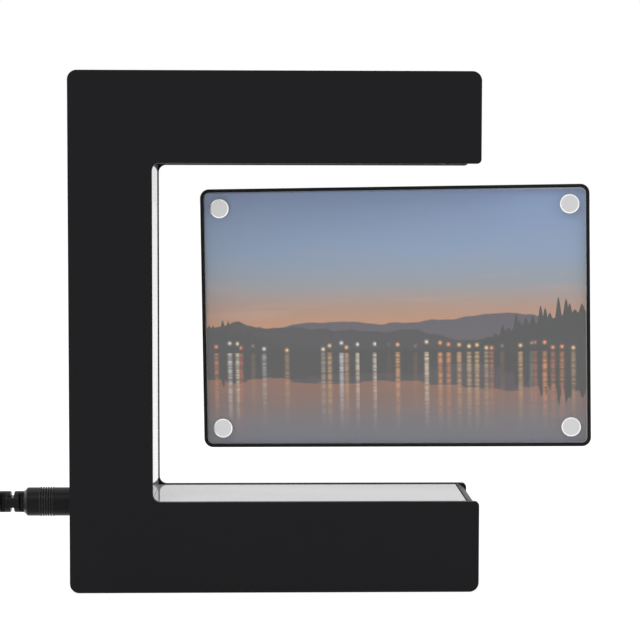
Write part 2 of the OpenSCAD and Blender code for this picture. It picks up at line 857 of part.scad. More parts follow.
module panel_back() {
    color("#1b1b1d") difference() {
        on_panel() slab(plate_front, panel_back_y)
            round_rect(recess_w - 2 * slip, recess_h - 2 * slip, recess_r - slip);
        translate([0, 0, fit]) lift_bore(lift_d + 2 * fit, 3 * sleeve_wall);
    }
}

module tray_magnets() {
    color("#a9acb0") on_panel() discs(disc_d, floor_front, tray_magnet_t);
}

module photo_print() {
    color("#7d8fb3") on_panel() slab(panel_front + cover_t, floor_front)
        round_rect(cover_w, cover_h, cover_r);
}

module clear_cover() {
    color("#dfe9ee") on_panel() difference() {
        slab(panel_front, panel_front + cover_t) round_rect(cover_w, cover_h, cover_r);
        discs(disc_d + 2 * fit, panel_front - cut, cover_t + 2 * cut);
    }
}

module cover_magnets() {
    bevel = disc_proud;
    color("#c9cbce") on_panel() {
        for (x = [-1, 1], z = [-1, 1]) translate([x * disc_x, panel_front, z * disc_z]) rotate([-90, 0, 0]) {
            cylinder(d = disc_d, h = cover_t);
            translate([0, 0, -bevel]) cylinder(d1 = disc_d - 2 * bevel, d2 = disc_d, h = bevel);
        }
    }
}

module plug_barrel() {
    color("#d0d0d0") difference() {
        rod_x([plug_face - barrel_root, 0, jack_z], barrel_d, barrel_root + barrel_l);
        rod_x([plug_face - barrel_root - cut, 0, jack_z], barrel_bore_d, barrel_root + barrel_l + 2 * cut);
    }
}

module plug_body() {
    body_d = plug_d - 2 * grip_h;
    grip_face = plug_face - grip_from;
    grip_l = (grip_count - 0.5) * grip_pitch;
    color("#17181a") difference() {
        union() {
            rod_x([relief_face + plug_chamfer, 0, jack_z], body_d, plug_l - plug_chamfer);
            translate([relief_face, 0, jack_z]) rotate([0, 90, 0])
                cylinder(d1 = body_d - 2 * plug_chamfer, d2 = body_d, h = plug_chamfer);
            rod_x([grip_face - grip_l, 0, jack_z], plug_d, grip_l);
        }
        for (i = [1:grip_count - 1]) translate([grip_face - i * grip_pitch, 0, jack_z]) difference() {
            rod_x([0, 0, 0], plug_d + 2 * cut, grip_pitch / 2);
            rod_x([-cut, 0, 0], body_d - 2 * grip_cut, grip_pitch / 2 + 2 * cut);
        }
        rod_x([plug_face - barrel_root, 0, jack_z], barrel_d + 2 * fit, barrel_root + cut);
    }
}

module strain_relief() {
    slots = floor((relief_l - slot_pitch) / slot_pitch);
    color("#17181a") difference() {
        rod_x([cord_face, 0, jack_z], relief_d, relief_l);
        for (i = [0:slots]) {
            x = relief_face - gap - i * slot_pitch - slot_w;
            for (s = [-1, 1]) translate([x, 0, jack_z]) rotate([i % 2 == 0 ? 90 : 0, 0, 0])
                translate([0, -relief_d, s * (slot_web / 2 + relief_d / 2) - relief_d / 2])
                    cube([slot_w, 2 * relief_d, relief_d]);
        }
    }
}

// The point that lies a share of the way from one point to another, along each axis
function part_way(a, b, share) = [for (k = [0:2]) a[k] + (b[k] - a[k]) * share[k]];
RUN = [for (share = RUN_SHARES) part_way(relief_end, coil_start, share)];
TAIL = [for (share = TAIL_SHARES) part_way(coil_end, bush_face, share)];

module cord_run() {
    color("#1a1a1c") tube(RUN, cord_d / 2, 8, [0, 0, 1]);
}

module cord_tail() {
    color("#1a1a1c") tube(TAIL, cord_d / 2, 8, [0, 0, 1]);
}

// The coil: loops wind inwards on the top layer, outwards on the next, and so on down to the table
coil_rings = 24;
function loop_r(s) = let (t = s % (2 * coil_loops)) coil_r - coil_step * min(t, 2 * coil_loops - t);
function layers_down(s) = let (k = round(s / coil_loops), t = s - k * coil_loops)
    k < 1 ? 0 : k > coil_layers - 1 ? coil_layers - 1 : k - 1 + max(0, min(1, 0.5 + 2 * t));
function loop_z(s) = coil_high - coil_step * layers_down(s);
function loop_at(s) = [coil_c.x - loop_r(s) * sin(360 * s), coil_c.y - loop_r(s) * cos(360 * s), loop_z(s)];
LOOPS = [for (i = [0:coil_turns * coil_rings]) loop_at(i / coil_rings)];
COIL = [coil_start, each LOOPS, coil_end];
coil_gap = min([for (i = [0:len(COIL) - 1], j = [i + coil_rings / 2:1:len(COIL) - 1])
    norm(COIL[i] - COIL[j])]) - cord_d;
echo(coil_gap = coil_gap);  // cord_coil

module cord_coil() {
    color("#1a1a1c") tube(COIL, cord_d / 2, 6, [0, 0, 1]);
}

module cord_tie() {
    bundle_w = coil_loops * coil_step + cord_d + 2 * gap;
    bundle_h = coil_high + cord_d / 2 + gap - tie_t;
    mid_y = coil_c.y + coil_r - coil_loops * coil_step / 2;
    color("#2a2a2a") translate([coil_c.x - tie_w / 2, mid_y, 0]) difference() {
        translate([0, -bundle_w / 2 - tie_t, 0]) cube([tie_w, bundle_w + 2 * tie_t, bundle_h + 2 * tie_t]);
        translate([-cut, -bundle_w / 2, tie_t]) cube([tie_w + 2 * cut, bundle_w, bundle_h]);
    }
}

module adaptor_bush() {
    color("#17181a") rod_x([adaptor_x, bush_face.y, bush_face.z], bush_d, bush_l);
}

module adaptor_half(z0, z1) {
    translate([adaptor_x - adaptor.x / 2, bush_face.y, z0]) linear_extrude(z1 - z0)
        round_rect(adaptor.x, adaptor.y, adaptor_r);
}

module adaptor_back() {
    color("#1d1d1f") adaptor_half(0, 2 * adaptor.z / 3);
}

module pin_places() {
    for (y = [-1, 1])
        translate([adaptor_x - adaptor.x / 2, bush_face.y + y * pin_pitch / 2, adaptor.z]) children();
}

module adaptor_face() {
    color("#212123") difference() {
        adaptor_half(2 * adaptor.z / 3, adaptor.z);
        pin_places() translate([0, 0, -pin_l / 4]) cylinder(d = pin_d + 2 * fit, h = pin_l);
    }
}

module adaptor_pins() {
    color("#d2cfc4") pin_places() {
        translate([0, 0, -pin_l / 4]) cylinder(d = pin_d, h = pin_l / 4 + pin_l - pin_d / 2);
        translate([0, 0, pin_l - pin_d / 2]) sphere(d = pin_d);
    }
}

front_shell();
rear_cover();
rear_screws();
base_pad();
top_smoked();
side_opal();
base_opal();
top_light_tray();
side_light_tray();
base_light_tray();
top_light_strip();
side_light_strip();
base_light_strip();
light_chips();
yoke_plate();
yoke_screws();
magnet_core();
core_screw();
coil_bobbin();
coil_winding();
sensor_board();
hall_sensor();
control_board();
board_chips();
board_capacitors();
board_connectors();
board_screws();
dc_jack();
jack_pin();
supply_wire();
coil_wire();
light_wires();
ballast_plate();
lift_magnet();
panel_tray();
panel_back();
tray_magnets();
photo_print();
clear_cover();
cover_magnets();
plug_barrel();
plug_body();
strain_relief();
cord_run();
cord_coil();
cord_tie();
cord_tail();
adaptor_bush();
adaptor_back();
adaptor_face();
adaptor_pins();
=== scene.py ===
import json
import math

import bmesh
import bpy
from mathutils import Matrix, Vector

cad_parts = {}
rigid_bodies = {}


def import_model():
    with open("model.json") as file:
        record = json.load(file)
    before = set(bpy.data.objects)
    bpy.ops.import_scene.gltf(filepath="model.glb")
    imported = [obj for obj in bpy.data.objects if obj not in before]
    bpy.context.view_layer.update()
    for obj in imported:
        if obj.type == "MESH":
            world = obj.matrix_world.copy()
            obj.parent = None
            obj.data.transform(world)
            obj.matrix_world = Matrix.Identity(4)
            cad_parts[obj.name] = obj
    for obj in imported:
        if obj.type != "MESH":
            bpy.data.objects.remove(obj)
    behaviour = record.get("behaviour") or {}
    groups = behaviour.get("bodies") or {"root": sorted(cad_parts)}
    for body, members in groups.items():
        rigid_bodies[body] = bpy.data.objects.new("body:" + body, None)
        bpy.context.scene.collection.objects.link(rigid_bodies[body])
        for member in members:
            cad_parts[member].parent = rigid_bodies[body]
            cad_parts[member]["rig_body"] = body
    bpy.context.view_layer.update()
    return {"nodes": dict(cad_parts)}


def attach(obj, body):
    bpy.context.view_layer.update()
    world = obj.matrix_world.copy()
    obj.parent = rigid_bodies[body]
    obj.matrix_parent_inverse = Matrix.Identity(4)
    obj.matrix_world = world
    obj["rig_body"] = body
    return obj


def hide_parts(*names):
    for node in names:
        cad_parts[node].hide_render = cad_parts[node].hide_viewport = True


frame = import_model()
scene = bpy.context.scene
scene.view_settings.view_transform = "Standard"


# ---- Camera ----
# It stands in front of the frame, a little above its middle, and looks slightly down.
# Its place, turns and focal length are fitted to the corners of the casing and the panel.
MM = 0.001
IMAGE_SIDE = 640
SENSOR_SIDE = 36.0
FOCAL_PIXELS = 1986.67
CAMERA_PLACE = Vector((-4.058, -796.158, 155.986)) * MM
CAMERA_TURNS = (("Z", -1.602), ("X", -3.628), ("Y", -0.106), ("X", 90.0))
camera_stance = Matrix.Translation(CAMERA_PLACE)
for axis, degrees in CAMERA_TURNS:
    camera_stance = camera_stance @ Matrix.Rotation(math.radians(degrees), 4, axis)
camera_data = bpy.data.cameras.new("camera")
camera_data.sensor_width = SENSOR_SIDE
camera_data.lens = FOCAL_PIXELS * SENSOR_SIDE / IMAGE_SIDE
camera_data.clip_end = 100.0
camera = bpy.data.objects.new("camera", camera_data)
camera.matrix_world = camera_stance
scene.collection.objects.link(camera)
scene.camera = camera


# ---- Floor and light ----
# A plain white studio floor that runs out to a white surround, and three soft lamps.
# Rays that are seen meet white; the rest are lit at a plain level, and the floor keeps the shadow.
class Wire:
    """A socket of a node tree: arithmetic on it adds Math nodes, node() adds any other node."""

    def __init__(self, tree, socket=None):
        self.tree, self.socket = tree, socket

    def node(self, kind, settings=None, inputs=None, out=0):
        """Adds a node, with its settings first and then the values or links of its sockets."""
        made = self.tree.nodes.new(kind)
        for name, value in (settings or {}).items():
            if name == "stops":
                stops = made.color_ramp.elements
                while len(stops) < len(value):
                    stops.new(1.0)
                for stop, (place, colour) in zip(stops, value):
                    stop.position, stop.color = place, colour
            else:
                setattr(made, name, value)
        for name, value in (inputs or {}).items():
            for one in value if isinstance(value, list) else [value]:
                if isinstance(one, Wire):
                    self.tree.links.new(one.socket, made.inputs[name])
                else:
                    made.inputs[name].default_value = one
        return Wire(self.tree, made.outputs[out] if made.outputs else None)

    def other(self, out):
        """Another output of the node that this socket is on."""
        return Wire(self.tree, self.socket.node.outputs[out])

    def maths(self, operation, *values):
        return self.node("ShaderNodeMath", {"operation": operation}, dict(enumerate(values)))

    def __add__(self, value):
        return self.maths("ADD", self, value)

    def __radd__(self, value):
        return self.maths("ADD", value, self)

    def __sub__(self, value):
        return self.maths("SUBTRACT", self, value)

    def __rsub__(self, value):
        return self.maths("SUBTRACT", value, self)

    def __mul__(self, value):
        return self.maths("MULTIPLY", self, value)

    def __rmul__(self, value):
        return self.maths("MULTIPLY", value, self)

    def __truediv__(self, value):
        return self.maths("DIVIDE", self, value)

    def __rtruediv__(self, value):
        return self.maths("DIVIDE", value, self)

    def __lt__(self, value):
        return self.maths("LESS_THAN", self, value)

    def __gt__(self, value):
        return self.maths("GREATER_THAN", self, value)


def grey(level):
    return (level, level, level, 1.0)


def blank(name):
    """A new material with no nodes but the Object coordinates of the piece that wears it."""
    made = bpy.data.materials.new(name)
    made.use_nodes = True
    made.node_tree.nodes.clear()
    return made, Wire(made.node_tree).node("ShaderNodeTexCoord", out="Object")


def shown(shader):
    """Sends a shader to the material's output."""
    shader.node("ShaderNodeOutputMaterial", inputs={"Surface": shader})


def seen_rays(wire):
    """1 for rays from the camera, or mirrored or let through by gloss and glass; else 0."""
    kind = wire.node("ShaderNodeLightPath", out="Is Camera Ray")
    clear = kind.maths("MAXIMUM", kind.other("Is Glossy Ray"), kind.other("Is Transmission Ray"))
    return kind.maths("MAXIMUM", kind, clear)


WORLD_LIGHT = 0.72
FLOOR_HALF = 30.0
LAMP_AIM = Vector((0.0, 0.0, 0.1))
world = bpy.data.worlds.new("studio")
world.use_nodes = True
world.node_tree.nodes.clear()
sky = Wire(world.node_tree)
sky_level = WORLD_LIGHT + (1.0 - WORLD_LIGHT) * seen_rays(sky)
white_sky = sky.node("ShaderNodeBackground", inputs={"Color": grey(1.0), "Strength": sky_level})
sky.node("ShaderNodeOutputWorld", inputs={"Surface": white_sky})
scene.world = world

paper, at = blank("studio_floor")
lit_paper = at.node("ShaderNodeBsdfDiffuse", inputs={"Color": grey(0.8)})
seen_paper = at.node("ShaderNodeBsdfDiffuse", inputs={"Color": grey(0.3)})
glow = at.node("ShaderNodeEmission", inputs={"Color": grey(1.0), "Strength": 0.85})
seen_paper = at.node("ShaderNodeAddShader", inputs={0: seen_paper, 1: glow})
shown(at.node("ShaderNodeMixShader", inputs={0: seen_rays(at), 1: lit_paper, 2: seen_paper}))

floor_mesh = bpy.data.meshes.new("studio_floor")
floor_mesh.from_pydata(
    [(x * FLOOR_HALF, y * FLOOR_HALF, 0.0) for x, y in ((-1, -1), (1, -1), (1, 1), (-1, 1))],
    [], [(0, 1, 2, 3)])
floor_mesh.materials.append(paper)
floor = bpy.data.objects.new("studio_floor", floor_mesh)
scene.collection.objects.link(floor)

for lamp_name, watts, side, place in (
    ("key_lamp", 11.0, 1.0, (-0.9, -1.3, 1.5)),
    ("fill_lamp", 4.0, 1.2, (1.4, -1.0, 0.9)),
    ("top_lamp", 6.0, 1.4, (0.1, 0.3, 1.9)),
):
    lamp_data = bpy.data.lights.new(lamp_name, "AREA")
    lamp_data.energy, lamp_data.size = watts, side
    lamp = bpy.data.objects.new(lamp_name, lamp_data)
    aim = (LAMP_AIM - Vector(place)).to_track_quat("-Z", "Y")
    lamp.matrix_world = Matrix.Translation(place) @ aim.to_matrix().to_4x4()
    scene.collection.objects.link(lamp)


# ---- Casing, front shell ----
# One C-shaped moulding: front plate, outer walls and tip walls, open at the back.
# ABS with a fine satin grain; its front edge is softened so that the plate is not knife-sharp.
CASING_FRONT = -26.5 * MM
CASING_BACK = 26.5 * MM
CASING_EDGE = 0.25 * MM
TOUCH, WELD = 0.01 * MM, 0.001 * MM
FLAT, SHARP = math.radians(0.5), math.radians(30)


def merged(node):
    """A copy of a CAD node's mesh with its doubles merged and its flat faces joined."""
    copy = bmesh.new()
    copy.from_mesh(frame["nodes"][node].data)
    bmesh.ops.remove_doubles(copy, verts=copy.verts, dist=WELD)
    bmesh.ops.dissolve_limit(copy, angle_limit=FLAT, verts=copy.verts, edges=copy.edges)
    return copy


def corners(mesh, wanted=lambda at: True):
    """The sharp edges whose two ends both pass a test, or all of them without one."""
    return [
        e for e in mesh.edges
        if len(e.link_faces) == 2 and e.calc_face_angle(0.0) > SHARP
        and all(wanted(v.co) for v in e.verts)
    ]


def soften(mesh, edges, width, steps=4):
    """Rounds edges to a width; one step makes a chamfer. Returns the new faces."""
    return bmesh.ops.bevel(
        mesh, geom=edges, offset=width, offset_type="OFFSET", segments=steps, profile=0.5,
        affect="EDGES", clamp_overlap=True)["faces"]


def plain(piece):
    """Turns what a piece's modifiers make into its plain mesh, and removes them."""
    shape = piece.evaluated_get(bpy.context.evaluated_depsgraph_get())
    mesh = bpy.data.meshes.new_from_object(shape)
    piece.modifiers.clear()
    piece.data = mesh
    mesh.name = piece.name


def placed(piece, node, *more):
    """Lets a piece stand for CAD nodes: it rides on their body, and the nodes are hidden."""
    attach(piece, frame["nodes"][node]["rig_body"])
    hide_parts(node, *more)
    return piece


def settled(mesh, name, node, *finishes):
    """Makes a smooth-shaded piece of a mesh that stands for a CAD node."""
    data = bpy.data.meshes.new(name)
    mesh.to_mesh(data)
    mesh.free()
    for made in finishes:
        data.materials.append(made)
    data.shade_smooth()
    data.set_sharp_from_angle(angle=SHARP)
    piece = bpy.data.objects.new(name, data)
    scene.collection.objects.link(piece)
    piece.modifiers.new("even_shading", "WEIGHTED_NORMAL").keep_sharp = True
    plain(piece)
    return placed(piece, node)


def blended(factor, first, second):
    """A colour between two, each a value or a link."""
    return factor.node(
        "ShaderNodeMix", {"data_type": "RGBA"}, {0: factor, 6: first, 7: second}, out=2)


def noise(at, scale, detail=2.0):
    return at.node(
        "ShaderNodeTexNoise", inputs={"Vector": at, "Scale": scale, "Detail": detail}, out="Fac")


def spread(value, low, high, to_low=0.0, to_high=1.0):
    """Maps a range of a value smoothly to another range."""
    return value.node(
        "ShaderNodeMapRange", {"interpolation_type": "SMOOTHSTEP"},
        {"Value": value, "From Min": low, "From Max": high, "To Min": to_low, "To Max": to_high})


def bumped(height, strength, distance):
    return height.node(
        "ShaderNodeBump", inputs={"Height": height, "Strength": strength, "Distance": distance})


def moulded(name, dark, light, rough, grain, gloss=0.5, bump=0.12):
    """Moulded plastic or rubber: drifting colour, a fine grain, and smudges that dull it."""
    made, at = blank(name)
    fine = noise(at, grain)
    smudge = spread(noise(at, 38.0, 4.0), 0.42, 0.7)
    shown(at.node("ShaderNodeBsdfPrincipled", inputs={
        "Base Color": blended(noise(at, 55.0, 3.0), dark, light),
        "Roughness": rough + 0.06 * smudge + 0.08 * (fine - 0.5),
        "Specular IOR Level": gloss,
        "Normal": bumped(fine, bump, 0.05 * MM),
    }))
    return made


satin_black = moulded(
    "casing_satin_black", (0.0051, 0.0048, 0.0061, 1.0), (0.0066, 0.0063, 0.0076, 1.0),
    rough=0.42, grain=2600.0, gloss=0.12, bump=0.5)
shell = merged("front_shell")
soften(shell, corners(shell, lambda at: at.y < CASING_FRONT + TOUCH), CASING_EDGE)
settled(shell, "casing_front", "front_shell", satin_black)


# ---- Light panels ----
# Three diffuser sheets in the mouth of the casing, held between the shell and the rear cover.
# Polished opal acrylic on the column and the base; the one under the arm is matt dark grey, which
# is painted shade under the arm.
SHEET_EDGE = 0.3 * MM
ACRYLIC_IOR = 1.49
opal, at = blank("opal_acrylic")
cloud = noise(at, 45.0, 3.0)
specks = noise(at, 900.0)
shown(at.node("ShaderNodeBsdfPrincipled", inputs={
    "Base Color": blended(cloud, (0.52, 0.52, 0.54, 1.0), (0.555, 0.555, 0.575, 1.0)),
    "Roughness": 0.05 + 0.05 * spread(noise(at, 60.0, 4.0), 0.45, 0.7),
    "IOR": ACRYLIC_IOR,
    "Normal": bumped(specks, 0.03, 0.02 * MM),
}))
# This dark grey paints the shade under the arm; the CAD node keeps the name top_smoked.
painted_shade_grey = moulded(
    "smoked_acrylic", grey(0.035), grey(0.05), rough=0.6, grain=1800.0, gloss=0.02)
for node, finish in (("top_smoked", painted_shade_grey), ("side_opal", opal), ("base_opal", opal)):
    sheet = merged(node)
    soften(sheet, corners(sheet), SHEET_EDGE, 3)
    settled(sheet, node + "_sheet", node, finish)


# ---- Light trays, strips and chips ----
# White reflector trays behind the three sheets, each with a narrow board of warm light chips.
# All of it is shut inside the casing, so the CAD shapes stay and only get their finishes.
def dressed(finish, *nodes):
    """Gives CAD nodes whose shape is right their finish."""
    for node in nodes:
        for slot in frame["nodes"][node].material_slots:
            slot.material = finish


tray_white = moulded("tray_white", grey(0.72), grey(0.8), rough=0.55, grain=2600.0)
strip_white = moulded("strip_white", grey(0.66), grey(0.74), rough=0.4, grain=4000.0)
chip_amber = moulded(
    "light_chip_amber", (0.82, 0.62, 0.12, 1.0), (0.9, 0.72, 0.2, 1.0), rough=0.25, grain=3000.0)
dressed(tray_white, "top_light_tray", "side_light_tray", "base_light_tray")
dressed(strip_white, "top_light_strip", "side_light_strip", "base_light_strip")
dressed(chip_amber, "light_chips")


# ---- Electromagnet ----
# In the top arm: a steel yoke plate screwed under the arm, an iron core with its screw, and a
# grey nylon bobbin wound with enamelled copper. A small sensor board sits under the core.
def brushed(name, dark, light, rough, stretch=(40.0, 40.0, 900.0)):
    """Ground or drawn metal: fine lines in one direction and a few duller patches."""
    made, at = blank(name)
    drawn = at.node("ShaderNodeMapping", inputs={"Vector": at, "Scale": stretch})
    lines = noise(drawn, 3.0, 3.0)
    dull = spread(noise(at, 90.0, 3.0), 0.45, 0.75)
    shown(at.node("ShaderNodeBsdfPrincipled", inputs={
        "Base Color": blended(lines, dark, light),
        "Metallic": 1.0,
        "Roughness": rough + 0.08 * lines + 0.1 * dull,
        "Normal": bumped(lines, 0.08, 0.02 * MM),
    }))
    return made


steel = brushed("ground_steel", grey(0.36), grey(0.5), rough=0.28)
dressed(
    steel, "yoke_plate", "yoke_screws", "magnet_core", "core_screw", "board_screws",
    "ballast_plate")
bobbin_grey = moulded("bobbin_nylon", grey(0.16), grey(0.2), rough=0.5, grain=3000.0)
dressed(bobbin_grey, "coil_bobbin")

copper, at = blank("enamelled_copper")
# The winding's colour runs darker in the grooves between turns: painted shade over the enamelled
# copper.
turns = at.node(
    "ShaderNodeTexWave", {"bands_direction": "Z"},
    {"Vector": at, "Scale": 1000.0, "Distortion": 0.6, "Detail": 1.0}, out="Fac")
shown(at.node("ShaderNodeBsdfPrincipled", inputs={
    "Base Color": blended(turns, (0.28, 0.08, 0.03, 1.0), (0.66, 0.25, 0.11, 1.0)),
    "Metallic": 0.9,
    "Roughness": 0.25 + 0.2 * noise(at, 120.0),
    "Normal": bumped(turns, 0.6, 0.2 * MM),
}))
dressed(copper, "coil_winding")


# ---- Control board ----
# A green glass-fibre board in the column with its chips, capacitors, connectors and screws,
# and the small sensor board under the core. Solder mask over copper tracks, moulded chips.
board_green, at = blank("board_green")
grid = at.node("ShaderNodeMapping", inputs={"Vector": at, "Scale": (1.0, 420.0, 300.0)})
pads = at.node(
    "ShaderNodeTexVoronoi", {"distance": "CHEBYCHEV", "feature": "F1"},
    {"Vector": grid, "Scale": 1.0}, out="Distance")
tracks = spread(pads, 0.42, 0.5)
shown(at.node("ShaderNodeBsdfPrincipled", inputs={
    "Base Color": blended(tracks, (0.012, 0.11, 0.035, 1.0), (0.03, 0.2, 0.06, 1.0)),
    "Roughness": 0.32 + 0.12 * noise(at, 500.0),
    "Normal": bumped(tracks, 0.3, 0.05 * MM),
}))
dressed(board_green, "control_board", "sensor_board")
chip_black = moulded("chip_epoxy", grey(0.012), grey(0.02), rough=0.5, grain=5000.0)
dressed(chip_black, "board_chips", "hall_sensor")
can_sleeve = moulded(
    "capacitor_sleeve", (0.02, 0.035, 0.07, 1.0), (0.03, 0.05, 0.1, 1.0), rough=0.3, grain=1500.0)
dressed(can_sleeve, "board_capacitors")
connector_cream = moulded(
    "connector_nylon", (0.75, 0.7, 0.58, 1.0), (0.82, 0.78, 0.66, 1.0), rough=0.45, grain=2500.0)
dressed(connector_cream, "board_connectors")


# ---- Jack and wires ----
# The round socket's nose comes through the left wall; a brass pin stands in it. Insulated wires
# run from it to the board, and from the board to the coil and the three light strips.
jack_black = moulded("jack_plastic", grey(0.008), grey(0.012), rough=0.4, grain=4000.0, gloss=0.4)
pin_brass = brushed("contact_brass", (0.55, 0.38, 0.14, 1.0), (0.72, 0.54, 0.24, 1.0), rough=0.22)
settled(merged("dc_jack"), "jack_socket", "dc_jack", jack_black)
settled(merged("jack_pin"), "jack_contact", "jack_pin", pin_brass)
for node, dark, light in (
    ("supply_wire", (0.32, 0.012, 0.012, 1.0), (0.42, 0.025, 0.02, 1.0)),
    ("coil_wire", (0.55, 0.2, 0.01, 1.0), (0.65, 0.27, 0.02, 1.0)),
    ("light_wires", grey(0.6), grey(0.7)),
):
    dressed(moulded(node + "_sleeve", dark, light, rough=0.35, grain=2600.0), node)


# ---- Rear cover and its screws ----
# A flat moulded plate that closes the shell from behind, with counterbored holes. Eight black
# pan-head screws with cross recesses hold it; each was stopped at its own turn.
SEAM_EDGE = 0.25 * MM
BORE_EDGE = 0.2 * MM
BORE_REACH = 3.3 * MM
SCREW_PLACES = [
    (-74.5, 5.7), (-74.5, 43.3), (-74.5, 160.4), (-74.5, 198.0),
    (0.0, 198.0), (71.5, 185.35), (0.0, 17.05), (71.5, 17.05)]
HEAD_SEAT, SEAM_Y = 24.9 * MM, 24.0 * MM
SHOULDER = 0.001 * MM


def in_bore(at):
    return any(math.hypot(at.x - x * MM, at.z - z * MM) < BORE_REACH for x, z in SCREW_PLACES)


def on_back(at):
    return at.y > CASING_BACK - TOUCH


def on_seam(at):
    return abs(at.y - SEAM_Y) < TOUCH and not in_bore(at)


cover = merged("rear_cover")
soften(cover, corners(cover, lambda at: on_back(at) and not in_bore(at)), CASING_EDGE)
soften(cover, corners(cover, lambda at: on_back(at) and in_bore(at)), BORE_EDGE, 2)
soften(cover, [e for e in corners(cover, on_seam) if e.is_convex], SEAM_EDGE, 2)
settled(cover, "casing_rear", "rear_cover", satin_black)


def tree_of(name, sizes):
    """A Geometry Nodes tree with named sizes; gives its input wires and the sizes' identifiers."""
    tree = bpy.data.node_groups.new(name, "GeometryNodeTree")
    face = tree.interface
    face.new_socket("Geometry", in_out="INPUT", socket_type="NodeSocketGeometry")
    keys = {
        label: face.new_socket(label, in_out="INPUT", socket_type="NodeSocketFloat").identifier
        for label in sizes}
    face.new_socket("Geometry", in_out="OUTPUT", socket_type="NodeSocketGeometry")
    return Wire(tree).node("NodeGroupInput", out="Geometry"), keys


def turned(start, rings, sides):
    """A closed round body, made ring by ring from its radii and heights upwards."""
    radius, low = rings[0]
    foot = start.node(
        "GeometryNodeMeshCircle", {"fill_type": "NGON"}, {"Vertices": sides, "Radius": radius})
    body, top = foot, None
    for wide, high in rings[1:]:
        given = {"Mesh": body, "Offset Scale": high - low, "Individual": False}
        if top:
            given["Selection"] = top
        body = start.node("GeometryNodeExtrudeMesh", {"mode": "FACES"}, given, out="Mesh")
        top = body.other("Top")
        body = start.node(
            "GeometryNodeScaleElements", {"domain": "FACE"},
            {"Geometry": body, "Selection": top, "Scale": wide / radius})
        radius, low = wide, high
    under = start.node("GeometryNodeFlipFaces", inputs={"Mesh": foot})
    whole = start.node("GeometryNodeJoinGeometry", inputs={"Geometry": [body, under]})
    return start.node(
        "GeometryNodeMergeByDistance", inputs={"Geometry": whole, "Distance": 2.0 * WELD})


def repeated(start, keys, sizes, body, spin, finish, places, name):
    """Sets a body on every place, and gives the plain mesh of all of them as one piece.

    The bodies bring an empty material slot, which goes, so that the finish is the first.
    """
    many = start.node(
        "GeometryNodeInstanceOnPoints",
        inputs={"Points": start, "Instance": body, "Rotation": spin})
    solid = start.node("GeometryNodeRealizeInstances", inputs={"Geometry": many})
    worn = start.node("GeometryNodeSetMaterial", inputs={"Geometry": solid, "Material": finish})
    start.node("NodeGroupOutput", inputs={"Geometry": worn})
    data = bpy.data.meshes.new(name)
    data.from_pydata(places, [], [])
    piece = bpy.data.objects.new(name, data)
    scene.collection.objects.link(piece)
    grower = piece.modifiers.new(name, "NODES")
    grower.node_group = start.tree
    for label, value in sizes.items():
        grower[keys[label]] = value
    plain(piece)
    piece.data.materials.clear()
    piece.data.materials.append(finish)
    for face in piece.data.polygons:
        face.material_index = 0
    piece.data.shade_smooth()
    piece.data.set_sharp_from_angle(angle=SHARP)
    return piece


screw_black = brushed(
    "screw_black_oxide", grey(0.018), grey(0.035), rough=0.34, stretch=(300.0, 300.0, 300.0))
sizes = {
    "Head": 5.4 * MM, "Height": 1.5 * MM, "Shank": 2.8 * MM, "Length": 12.9 * MM,
    "Slot": 0.75 * MM}
start, keys = tree_of("pan_screw", sizes)
head, high, shank, long, slot = (start.other(label) for label in sizes)
head = head / 2.0
shank = shank / 2.0
body = turned(start, [
    (shank * 0.55, long * -1.0), (shank, long * -1.0 + shank), (shank, 0.0), (head, SHOULDER),
    (head, high * 0.5), (head * 0.9, high * 0.8), (head * 0.68, high * 0.97),
    (head * 0.4, high)], sides=48)
foot = start.node("ShaderNodeCombineXYZ", inputs={"Z": long * -1.0})
body = start.node("GeometryNodeTransform", inputs={"Geometry": body, "Translation": foot})
arms = []
for along, across in ((head * 1.25, slot), (slot, head * 1.25)):
    bar = start.node("ShaderNodeCombineXYZ", inputs={"X": along, "Y": across, "Z": high})
    arms.append(start.node("GeometryNodeMeshCube", inputs={"Size": bar}))
cross = start.node("GeometryNodeJoinGeometry", inputs={"Geometry": arms})
lift = start.node("ShaderNodeCombineXYZ", inputs={"Z": high})
cross = start.node("GeometryNodeTransform", inputs={"Geometry": cross, "Translation": lift})
body = start.node(
    "GeometryNodeMeshBoolean", {"operation": "DIFFERENCE", "solver": "EXACT"},
    {"Mesh 1": body, "Mesh 2": cross, "Self Intersection": True})
stop = start.node(
    "FunctionNodeRandomValue", {"data_type": "FLOAT"},
    {"Min": 0.0, "Max": math.pi, "Seed": 5}, out=1)
spin = start.node("ShaderNodeCombineXYZ", inputs={"Z": stop})
screws = repeated(
    start, keys, sizes, body, spin, screw_black,
    [(x * MM, z * MM, 0.0) for x, z in SCREW_PLACES], "cover_screws")
screws.data.transform(Matrix(((1, 0, 0, 0), (0, 0, 1, HEAD_SEAT), (0, 1, 0, 0), (0, 0, 0, 1))))
screws.data.flip_normals()
placed(screws, "rear_screws")


# ---- Base pad ----
# A thin rubber pad glued under the base, so that the stand doesn't slip.
# Cut from sheet; only its edge shows from the side.
PAD_EDGE = 0.25 * MM
pad_rubber = moulded(
    "pad_rubber", grey(0.012), grey(0.018), rough=0.75, grain=2200.0, gloss=0.3, bump=0.3)
pad = merged("base_pad")
soften(pad, corners(pad, lambda at: at.z < TOUCH), PAD_EDGE, 2)
settled(pad, "base_pad_sheet", "base_pad", pad_rubber)


